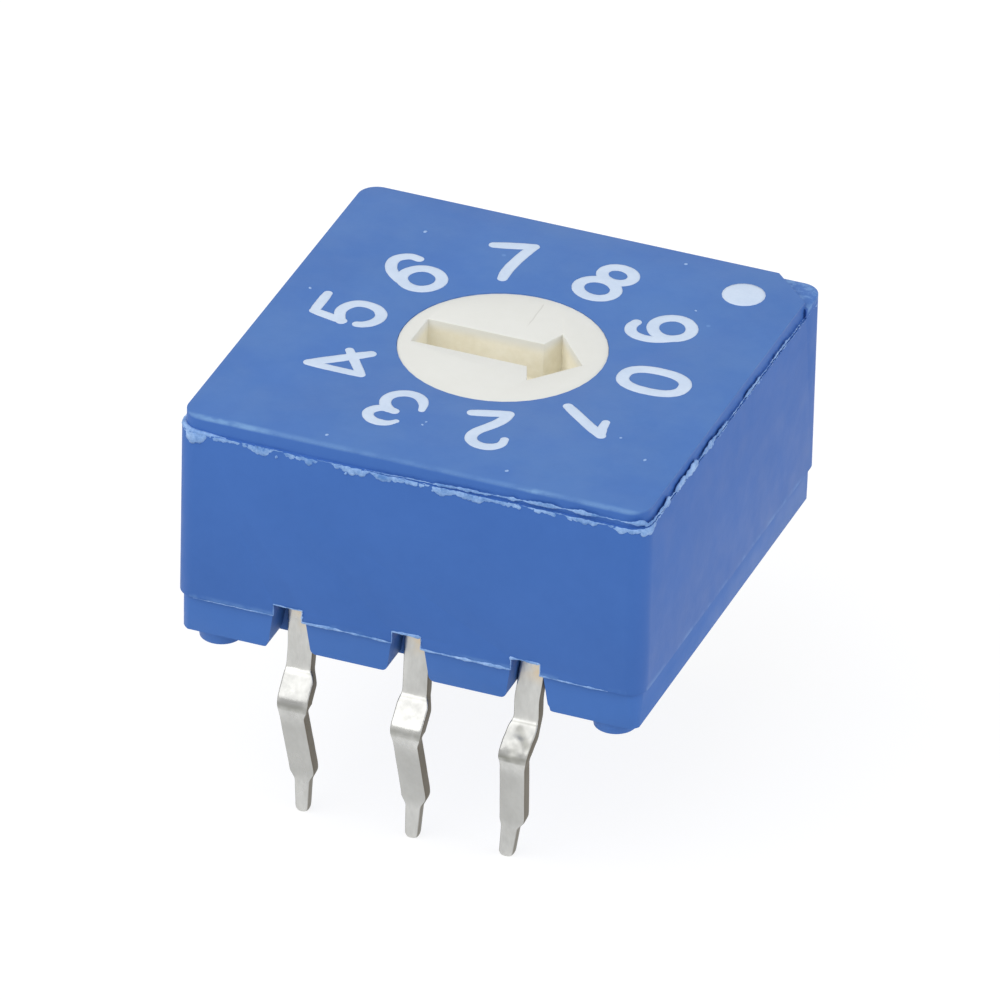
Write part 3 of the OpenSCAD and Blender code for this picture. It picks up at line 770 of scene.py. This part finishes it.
class MeshGroup(Group):
    """A Geometry Nodes tree from one mesh to another."""

    def __init__(self, name, inputs):
        super().__init__(name, "GeometryNodeTree", {"Geometry": "Geometry", **inputs}, {"Geometry": "Geometry"})

    def step(self, kind, inputs=None, **settings):
        return self.node(kind, inputs, **settings).outputs[0]

    def along_lines(self):
        """The source's lines as curves with even steps."""
        curves = self.step("GeometryNodeMeshToCurve", {"Mesh": self["Geometry"]})
        return self.step("GeometryNodeResampleCurve", {"Curve": curves, "Length": self["Step"]}, mode="LENGTH")

    def sweep(self, path, profile, size):
        return self.step("GeometryNodeCurveToMesh", {
            "Curve": path, "Profile Curve": profile, "Scale": size, "Fill Caps": True})

    def held(self, label):
        """A number that the source carries at its points."""
        return self.step("GeometryNodeInputNamedAttribute", {"Name": label}, data_type="FLOAT")

    def xyz(self, x=0.0, y=0.0, z=0.0):
        return self.node("ShaderNodeCombineXYZ", {0: x, 1: y, 2: z}).outputs[0]

    def real(self, geometry):
        return self.step("GeometryNodeRealizeInstances", {"Geometry": geometry})

    def end(self, geometry, finish):
        """Smooth, with the material of a named input."""
        smooth = self.step("GeometryNodeSetShadeSmooth", {"Geometry": geometry})
        return self.send(Geometry=self.step("GeometryNodeSetMaterial", {"Geometry": smooth, "Material": self[finish]}))


def run_tree(source, tree, values):
    """The plain mesh that the tree makes of a source mesh. values are the tree's inputs by name."""
    work = add_object("work", source)
    modifier = work.modifiers.new("nodes", "NODES")
    modifier.node_group = tree
    for item in tree.interface.items_tree:
        if item.in_out == "INPUT" and item.name in values:
            modifier[item.identifier] = values[item.name]
    return plain_mesh(work)


def line(points, widths, closed=False, round_ends=False, fall=0.0):
    """A line to sweep. fall is how far the swept form hangs below it, as a share of the form's size."""
    return points, widths, closed, round_ends, fall


def line_mesh(lines):
    """Lines as bare edges, with their width, round ends and fall at each point."""
    verts, edges, widths, ends, falls = [], [], [], [], []
    for points, sizes, closed, round_ends, fall in lines:
        start = len(verts)
        verts += [Vector(p) * MM for p in points]
        edges += [(start + i, start + i + 1) for i in range(len(points) - 1)]
        if closed:
            edges.append((len(verts) - 1, start))
        widths += sizes
        marks = [0.0] * len(points)
        if round_ends:
            marks[0] = marks[-1] = 1.0
        ends += marks
        falls += [fall] * len(points)
    mesh = bpy.data.meshes.new("lines")
    mesh.from_pydata(verts, edges, [])
    for label, values in (("width", widths), ("end", ends), ("fall", falls)):
        mesh.attributes.new(label, "FLOAT", "POINT").data.foreach_set("value", values)
    return mesh


def build_print_tree():
    """Printed strokes: each line becomes a low bead of ink with round ends."""
    g = MeshGroup("print_strokes", {"Step": "Float", "Flatness": "Float", "Face height": "Float", "Ink": "Material"})
    half = g.times(g.held("width"), 0.5)
    ring = g.step("GeometryNodeCurvePrimitiveCircle", {"Resolution": 12, "Radius": 1.0})
    swept = g.sweep(g.along_lines(), ring, half)
    drop = g.step("GeometryNodeMeshUVSphere", {"Segments": 20, "Rings": 9, "Radius": 1.0})
    is_end = g.math("GREATER_THAN", g.held("end"), 0.5)
    drops = g.step("GeometryNodeInstanceOnPoints", {
        "Points": g["Geometry"], "Instance": drop, "Selection": is_end, "Scale": half})
    join = g.node("GeometryNodeJoinGeometry", {0: swept})
    g.tree.links.new(drops, join.inputs[0])
    placed = g.step("GeometryNodeTransform", {
        "Geometry": g.real(join.outputs[0]), "Scale": g.xyz(1, 1, g["Flatness"]),
        "Translation": g.xyz(z=g["Face height"])})
    return g.end(placed, "Ink")


def build_flash_tree():
    """Moulding flash: a thin ragged film along a line. Its height comes and goes, and it hangs from the line."""
    g = MeshGroup("moulding_flash", {
        "Step": "Float", "Thinnest": "Float", "Thickest": "Float", "Cover": "Float", "Waviness": "Float",
        "Lump scale": "Float", "Tear": "Float", "Flatness": "Float", "Seed": "Int", "Plastic": "Material"})
    place = g.step("GeometryNodeInputPosition")
    offset = g.times(g["Seed"], 3.71)

    def field(scale, detail, shift):
        return g.node("ShaderNodeTexNoise", {
            "Vector": place, "W": g.add(offset, shift), "Scale": scale, "Detail": detail},
            noise_dimensions="4D").outputs

    def drift(scale, detail, shift, amount):
        """A move in any direction, up to about half of the amount."""
        centred = g.vector("SUBTRACT", field(scale, detail, shift)["Color"], (0.5, 0.5, 0.5))
        return g.node("ShaderNodeVectorMath", {0: centred, "Scale": amount}, operation="SCALE").outputs[0]

    top = 0.72  # the noise at which the film is at its thickest
    lump = field(g["Lump scale"], 3, 11.0)[0]
    grown = g.ramp(lump, g.less(top, g["Cover"]), top)
    size = g.add(g["Thinnest"], g.times(grown, g.less(g["Thickest"], g["Thinnest"])))
    film = g.times(size, g.held("width"))
    kept = g.step("GeometryNodeStoreNamedAttribute", {"Geometry": g.along_lines(), "Name": "film", "Value": film})
    wave = drift(g.times(g["Lump scale"], 0.5), 3, 0.0, g["Waviness"])
    hang = g.xyz(z=g.times(g.held("film"), g.held("fall"), -1.0))
    moved = g.step("GeometryNodeSetPosition", {"Geometry": kept, "Offset": g.vector("ADD", wave, hang)})
    upright = g.step("GeometryNodeSetCurveNormal", {0: moved}, mode="Z_UP")
    ring = g.step("GeometryNodeCurvePrimitiveCircle", {"Resolution": 10, "Radius": 1.0})
    flat = g.step("GeometryNodeTransform", {"Geometry": ring, "Scale": g.xyz(g["Flatness"], 1, 1)})
    swept = g.sweep(upright, flat, g.held("film"))
    tear = drift(g.times(g["Lump scale"], 4.0), 2, 23.0, g["Tear"])
    return g.end(g.real(g.step("GeometryNodeSetPosition", {"Geometry": swept, "Offset": tear})), "Plastic")


def build_dust_tree():
    """Dust: small uneven crumbs on the points of a mesh."""
    g = MeshGroup("dust_crumbs", {
        "Smallest": "Float", "Largest": "Float", "Squeeze": "Vector", "Seed": "Int", "Dust": "Material"})
    ball = g.step("GeometryNodeMeshIcoSphere", {"Subdivisions": 2, "Radius": 1.0})
    rough = g.node("ShaderNodeTexNoise", {"Vector": g.step("GeometryNodeInputPosition"), "Scale": 1.7, "Detail": 2})
    centred = g.vector("SUBTRACT", rough.outputs["Color"], (0.5, 0.5, 0.5))
    uneven = g.step("GeometryNodeSetPosition", {"Geometry": ball, "Offset": centred})
    crumb = g.step("GeometryNodeTransform", {"Geometry": uneven, "Scale": g["Squeeze"]})
    # This node's inputs 2 and 3 and its output 1 are its plain numbers.
    size = g.node("FunctionNodeRandomValue", {2: g["Smallest"], 3: g["Largest"], "Seed": g["Seed"]},
                  data_type="FLOAT").outputs[1]
    turn = g.node("FunctionNodeRandomValue", {"Max": (0.0, 0.0, 6.28), "Seed": g["Seed"]},
                  data_type="FLOAT_VECTOR").outputs[0]
    crumbs = g.step("GeometryNodeInstanceOnPoints", {
        "Points": g["Geometry"], "Instance": crumb, "Scale": size, "Rotation": turn})
    return g.end(g.real(crumbs), "Dust")


# ---------------------------- printed digits and dot


def smooth_line(points, closed=False):
    """A Catmull-Rom line through the points."""
    p = [Vector(q) for q in points]
    count = len(p)
    out = []
    for i in range(count if closed else count - 1):
        if closed:
            a, b, c, d = p[i - 1], p[i], p[(i + 1) % count], p[(i + 2) % count]
        else:
            a, b, c, d = p[max(i - 1, 0)], p[i], p[i + 1], p[min(i + 2, count - 1)]
        for t in (0.0, 0.25, 0.5, 0.75):
            out.append(0.5 * (2 * b + (c - a) * t + (2 * a - 5 * b + 4 * c - d) * t * t
                              + (3 * b - a - 3 * c + d) * t ** 3))
    if not closed:
        out.append(p[-1])
    return out


def oval(cx, cy, rx, ry, square):
    """A closed oval, squarer for a higher power."""
    out = []
    for k in range(28):
        a = 2 * math.pi * k / 28
        c, s = math.cos(a), math.sin(a)
        out.append((cx + rx * math.copysign(abs(c) ** (2 / square), c),
                    cy + ry * math.copysign(abs(s) ** (2 / square), s)))
    return out


# Middle lines of each digit in mm about its centre: (points, kind, width), where kind is line, curve or loop.
# Two more numbers give the share of the width that is left at the start and at the end.
STROKES = {
    0: [(oval(0.05, -0.045, 0.405, 0.64, 2.35), "loop", 0.27)],
    1: [([(0.175, 0.58), (0.165, 0.1), (0.12, -0.70)], "line", 0.25),
        ([(0.15, 0.56), (0.0, 0.36), (-0.19, 0.20)], "line", 0.20)],
    2: [([(-0.25, 0.27), (-0.20, 0.45), (-0.05, 0.56), (0.13, 0.57), (0.30, 0.49), (0.41, 0.33), (0.40, 0.14),
          (0.29, -0.03), (0.10, -0.19), (-0.10, -0.38), (-0.22, -0.55), (-0.27, -0.70)], "curve", 0.25, 0.7, 1.0),
        ([(-0.26, -0.715), (0.45, -0.70)], "line", 0.25)],
    3: [([(-0.24, 0.32), (-0.16, 0.48), (-0.01, 0.57), (0.16, 0.59), (0.33, 0.51), (0.41, 0.36), (0.36, 0.18),
          (0.22, 0.07), (0.03, 0.05)], "curve", 0.24, 0.55, 0.9),
        ([(0.16, 0.06), (0.35, -0.05), (0.46, -0.24), (0.44, -0.45), (0.30, -0.63), (0.10, -0.70), (-0.09, -0.66),
          (-0.25, -0.52), (-0.35, -0.34)], "curve", 0.24, 1.0, 0.6)],
    4: [([(0.26, 0.63), (0.27, 0.1), (0.30, -0.66)], "line", 0.26),
        ([(0.22, 0.62), (-0.44, -0.27)], "line", 0.21),
        ([(-0.44, -0.27), (0.54, -0.28)], "line", 0.21)],
    5: [([(-0.19, 0.69), (0.55, 0.69)], "line", 0.22),
        ([(-0.19, 0.69), (-0.34, 0.02)], "line", 0.24),
        ([(-0.36, 0.04), (-0.18, 0.14), (0.03, 0.20), (0.24, 0.15), (0.41, 0.0), (0.45, -0.22), (0.38, -0.45),
          (0.21, -0.60), (0.02, -0.63), (-0.17, -0.56), (-0.30, -0.42), (-0.34, -0.30)], "curve", 0.25)],
    6: [([(0.40, 0.47), (0.32, 0.63), (0.16, 0.71), (-0.01, 0.71), (-0.17, 0.60), (-0.30, 0.40), (-0.36, 0.15),
          (-0.37, -0.10), (-0.34, -0.30)], "curve", 0.25),
        (oval(0.03, -0.22, 0.40, 0.40, 2.1), "loop", 0.26)],
    7: [([(-0.42, 0.69), (0.40, 0.69)], "line", 0.25),
        ([(0.38, 0.66), (0.20, 0.36), (0.0, -0.06), (-0.11, -0.36), (-0.17, -0.62)], "curve", 0.25)],
    8: [(oval(-0.045, 0.41, 0.335, 0.29, 2.0), "loop", 0.26),
        (oval(-0.03, -0.28, 0.405, 0.355, 2.0), "loop", 0.26)],
    9: [(oval(0.04, 0.20, 0.40, 0.39, 2.1), "loop", 0.26),
        ([(0.44, 0.22), (0.42, -0.10), (0.33, -0.38), (0.15, -0.58), (-0.05, -0.64), (-0.24, -0.57), (-0.35, -0.44)],
         "curve", 0.25)],
}
DIGIT_R = 3.3
DOT, DOT_W = (3.70, 3.83, 0), 0.90


def printed_lines():
    """The digits, which read from outside, and the dot."""
    rng = random.Random(7)
    lines = []
    for digit, strokes in STROKES.items():
        a = math.radians(-36 * digit)
        up = Vector((math.cos(a), math.sin(a)))
        right = Vector((math.sin(a), -math.cos(a)))
        for points, kind, width, *tapers in strokes:
            first, last = tapers or (0.88, 0.88)
            if kind == "loop":
                points, first, last = smooth_line(points, closed=True), 1.0, 1.0
            else:
                points = smooth_line(points) if kind == "curve" else evenly(points, 0.05)
            reach, end = max(3, len(points) // 4), len(points) - 1
            widths = []
            for i in range(len(points)):
                share = first + (1 - first) * smooth_share(i, 0, reach)
                share *= last + (1 - last) * smooth_share(end - i, 0, reach)
                widths.append(width * share * (1 + 0.05 * (rng.random() - 0.5)) * MM)
            placed = [(*(up * (DIGIT_R + y) + right * x), 0) for x, y in points]
            lines.append(line(placed, widths, closed=kind == "loop", round_ends=kind != "loop"))
    lines.append(line([DOT], [DOT_W * MM], round_ends=True))
    return lines


new_piece("printed_digits", run_tree(line_mesh(printed_lines()), build_print_tree(), {
    "Step": 0.03 * MM, "Flatness": 0.055, "Face height": TOP * MM, "Ink": INK}), "switch_body", None)


# ---------------------------- flash and dust

FLASH_TREE = build_flash_tree()
DUST_TREE = build_dust_tree()


def flash(name, lines, seed, step, thinnest, thickest, cover, waviness, lump_scale, tear, flatness):
    """A piece of film along lines, whose widths are shares of its size. Lengths are in mm."""
    mesh = run_tree(line_mesh(lines), FLASH_TREE, {
        "Step": step * MM, "Thinnest": thinnest * MM, "Thickest": thickest * MM, "Cover": cover,
        "Waviness": waviness * MM, "Lump scale": lump_scale, "Tear": tear * MM, "Flatness": flatness,
        "Seed": seed, "Plastic": FLASH})
    new_piece(name, mesh, "switch_body", "housing_plastic")


def wall_line(z, out, *sides):
    """Points round the cover at a height, out from its middle, along each side and the round corner after it."""
    flat = out - EDGE_R
    # Where each side starts and ends, and the angle at which its corner starts.
    walls = {"front": ((-flat, -out), (flat, -out), -90), "right": ((out, -flat), (out, flat), 0),
             "back": ((flat, out), (-flat, out), 90), "left": ((-out, flat), (-out, -flat), 180)}
    points = []
    for side in sides:
        (x0, y0), (x1, y1), turn = walls[side]
        n = max(1, round(math.hypot(x1 - x0, y1 - y0) / 0.12))
        points += [(x0 + (x1 - x0) * i / n, y0 + (y1 - y0) * i / n, z) for i in range(n + 1)]
        cx, cy = math.copysign(flat, x1), math.copysign(flat, y1)
        for k in range(1, 6):
            a = math.radians(turn + 15 * k)
            points.append((cx + EDGE_R * math.cos(a), cy + EDGE_R * math.sin(a), z))
    return points


def step_share(x, y):
    """How tall the film below the step is: most at the front and round its left corner, thin on the right."""
    if y < -4.7:
        return 0.9 + 0.25 * smooth_share(-x, 4.0, 4.6)
    if x > 4.7:
        return 0.25 + 0.7 * smooth_share(-y, 3.9, 4.6)
    if x < -4.7:
        return 0.5 + 0.5 * smooth_share(-y, 3.4, 4.6)
    return 0.55


def climb_share(x, y):
    """How tall the film is that climbs the step's wall."""
    if x <= 4.7:
        return 0.12 + 0.45 * smooth_share(x, -1.0, 3.0) - 0.25 * smooth_share(x, 4.2, 4.7)
    middle = (0.45 + 0.45 * smooth_share(-y, 0.6, 2.2)) * smooth_share(-y, -4.2, -2.0)
    return middle * (1 - 0.6 * smooth_share(-y, 3.9, 4.5)) + 0.15


hanging = wall_line(STEP_Z + 0.01, HALF - 0.004, "front", "right", "back", "left")
climbing = [(x, y, STEP_Z + (0.06 if x > 4.9 else 0.02 + 0.13 * smooth_share(x, -1.5, 4.5)))
            for x, y, z in wall_line(STEP_Z, HALF - 0.012, "front", "right") if x > -1.0 and y < 4.1]
flash("step_flash", [
    line(hanging, [step_share(x, y) for x, y, z in hanging], closed=True, fall=1.0),
    line(climbing, [climb_share(x, y) for x, y, z in climbing]),
], seed=3, step=0.016, thinnest=0.012, thickest=0.125, cover=0.36, waviness=0.04, lump_scale=2600.0, tear=0.06,
    flatness=0.30)

smeared = [p for p in wall_line(STEP_Z - 0.005, HALF - 0.045, "left", "front") if p[0] < -3.9 and p[1] < -3.2]
fading = [0.3 + 0.7 * smooth_share(min(i, len(smeared) - 1 - i), 0, 5) for i in range(len(smeared))]
flash("step_smear", [line(smeared, fading)], seed=5, step=0.025, thinnest=0.045, thickest=0.075, cover=0.5,
      waviness=0.02, lump_scale=1800.0, tear=0.03, flatness=0.9)


WINDOW_X, WINDOW_Z = 0.31, SKIRT_Z + 0.27  # half of a window's width, and its top
SKIRT_OUT = HALF + 0.002


def skirt_outline(side):
    """The skirt's lower edge along one row, up, over and down each window, and its film's shares.

    side is -1 for the front and 1 for the back.
    """
    corners = [(-4.58, SKIRT_Z)]
    for x in (-PITCH, 0.0, PITCH):
        corners += [(x - WINDOW_X, SKIRT_Z), (x - WINDOW_X, WINDOW_Z),
                    (x + WINDOW_X, WINDOW_Z), (x + WINDOW_X, SKIRT_Z)]
    corners.append((4.35, SKIRT_Z))
    points, shares = [], []
    for (x0, z0), (x1, z1) in zip(corners, corners[1:]):
        n = max(2, round(math.hypot(x1 - x0, z1 - z0) / 0.06))
        for i in range(n):
            x, z = x0 + (x1 - x0) * (i / n), z0 + (z1 - z0) * (i / n)
            if z0 != z1:
                share = 0.55
            elif z0 > SKIRT_Z:
                share = 1.25 if x > -1 else 0.7
            else:
                share = 0.45 + 0.55 * smooth_share(x, -2.6, -1.8)
            share = share * smooth_share(x, -4.6, -4.0) * smooth_share(-x, -4.35, -3.9)
            points.append((x * -side, side * SKIRT_OUT, z))
            shares.append(max(0.15, share))
    return points, shares


left_edge = [(-SKIRT_OUT, y / 10, SKIRT_Z) for y in range(42, -43, -1)]
flash("skirt_flash", [line(*skirt_outline(-1)), line(*skirt_outline(1)), line(left_edge, [0.5] * len(left_edge))],
      seed=8, step=0.02, thinnest=0.008, thickest=0.046, cover=0.38, waviness=0.04, lump_scale=2600.0, tear=0.022,
      flatness=0.4)

# Loose bits: crumbs below the front step, and dust on the top face.
CRUMBS = [(x, -HALF, BOARD + z) for x, z in (
    (-2.83, 4.83), (-1.53, 4.90), (-1.35, 4.81), (0.50, 4.86), (-0.93, 4.93))]
SPECKLES = [(x, y, TOP) for x, y in (
    (-1.95, -4.55), (-0.33, -3.31), (1.82, -4.41), (3.43, -2.34), (4.17, -2.94), (-0.36, -3.44), (3.04, 2.86),
    (-4.4, 0.6), (-3.1, 3.6), (2.2, 4.5))]
for name, places, smallest, largest, squeeze, finish in (
    ("flash_crumbs", CRUMBS, 0.026, 0.042, (1.3, 0.5, 0.9), FLASH),
    ("dust_specks", SPECKLES, 0.022, 0.042, (1.2, 0.9, 0.35), DUST),
):
    spots = bpy.data.meshes.new(name)
    spots.from_pydata([(x * MM, y * MM, z * MM) for x, y, z in places], [], [])
    new_piece(name, run_tree(spots, DUST_TREE, {
        "Smallest": smallest * MM, "Largest": largest * MM, "Squeeze": squeeze, "Seed": 4, "Dust": finish,
    }), "switch_body", None)


# ---------------------------- finishes of the nodes that stay

springs = ["contact_spring_" + bit for bit in ("1", "2", "4", "8", "common")]
for node, finish in (("o_ring", RUBBER), ("code_disc", GOLD), ("detent_spring", STEEL), *((s, GOLD) for s in springs)):
    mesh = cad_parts[node].data
    if mesh.materials:
        for i in range(len(mesh.materials)):
            mesh.materials[i] = finish
    else:
        mesh.materials.append(finish)
